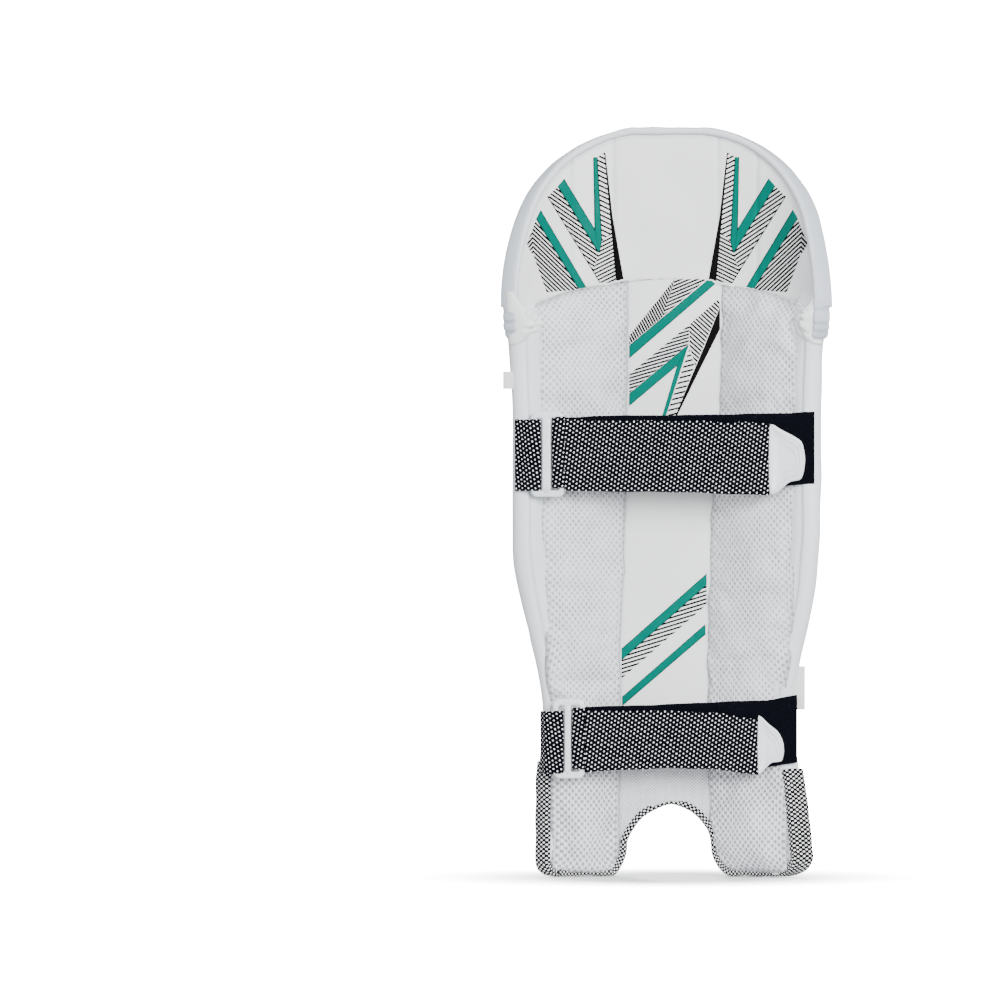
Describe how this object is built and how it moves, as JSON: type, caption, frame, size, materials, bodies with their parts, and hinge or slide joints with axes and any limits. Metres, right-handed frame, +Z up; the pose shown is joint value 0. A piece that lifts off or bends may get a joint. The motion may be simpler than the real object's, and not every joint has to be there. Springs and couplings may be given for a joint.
{
  "type": "wicket-keeping leg pad",
  "caption": "Right-leg cricket wicket-keeping pad: quilted shin guard with wrap-round wings, folding knee flap, mesh bolsters and hook-and-loop straps.",
  "frame": {"origin": "on the floor under the middle of the standing pad", "axes": "+Z up the shin toward the knee flap, -Y the front that the ball meets, +Y the leg side, -X the outside of the right leg"},
  "size_m": [0.2818, 0.1011, 0.638],
  "materials": {
    "pu_cover": "soft white polyurethane cover, fine grain, semi-matt",
    "mesh_knit": "white diamond knit mesh",
    "lining_pu": "smooth white lining with plain teal and grey bands",
    "piping": "round white piping",
    "check_tape": "black and white chequered binding tape",
    "loop_pile": "black loop pile webbing",
    "dot_webbing": "near-black webbing with a white dot weave",
    "hook_tape": "black hook tape",
    "moulded_white": "soft white moulded plastic",
    "badge_rim": "moulded pale grey rim with a satin shine",
    "badge_plate": "moulded plate with a plain chevron pattern",
    "label_ribbon": "blank woven ribbon",
    "foam": "light closed-cell foam"
  },
  "bodies": {
    "shin_guard": {"badge_plate": "badge_plate", "badge_rim": "badge_rim", "bolster_cover_inner": "mesh_knit", "bolster_cover_outer": "mesh_knit", "bolster_foam_inner": "foam", "bolster_foam_outer": "foam", "care_label": "label_ribbon", "centre_panel": "lining_pu", "instep_tape": "check_tape", "knee_roll_1": "foam", "knee_roll_2": "foam", "knee_roll_3": "foam", "knee_roll_4": "foam", "knee_roll_5": "foam", "knee_roll_6": "foam", "lower_anchor": "dot_webbing", "lower_ring": "moulded_white", "lower_strap_base": "loop_pile", "shin_board": "foam", "shin_facing": "pu_cover", "shin_lining": "lining_pu", "side_tape_inner": "check_tape", "side_tape_outer": "check_tape", "size_label": "label_ribbon", "tube_core_1": "foam", "tube_core_2": "foam", "tube_core_3": "foam", "tube_core_4": "foam", "tube_core_5": "foam", "tube_core_6": "foam", "upper_anchor": "dot_webbing", "upper_ring": "moulded_white", "upper_strap_base": "loop_pile", "wing_cover_inner": "pu_cover", "wing_cover_outer": "pu_cover", "wing_foam_inner": "foam", "wing_foam_outer": "foam"},
    "knee_flap": {"flap_board": "foam", "flap_facing": "pu_cover", "flap_foam_1": "foam", "flap_foam_2": "foam", "flap_foam_3": "foam", "flap_foam_4": "foam", "flap_foam_5": "foam", "flap_foam_6": "foam", "flap_foam_7": "foam", "flap_lining": "lining_pu", "flap_piping": "piping"},
    "upper_strap": {"upper_strap_return": "dot_webbing", "upper_pull_tab": "moulded_white", "upper_hook_patch": "hook_tape"},
    "lower_strap": {"lower_strap_return": "dot_webbing", "lower_pull_tab": "moulded_white", "lower_hook_patch": "hook_tape"}
  },
  "joints": [
    {"name": "knee_flap_fold", "type": "hinge", "parent": "shin_guard", "child": "knee_flap", "pos_m": [0, -0.0407, 0.483], "axis": [1, 0, 0], "range_deg": [0, 25]},
    {"name": "upper_strap_peel", "type": "hinge", "parent": "shin_guard", "child": "upper_strap", "pos_m": [0.08631, 0.03228, 0.358], "axis": [0, 0, -1], "range_deg": [0, 150]},
    {"name": "lower_strap_peel", "type": "hinge", "parent": "shin_guard", "child": "lower_strap", "pos_m": [0.06907, 0.01959, 0.1145], "axis": [0, 0, -1], "range_deg": [0, 150]}
  ]
}
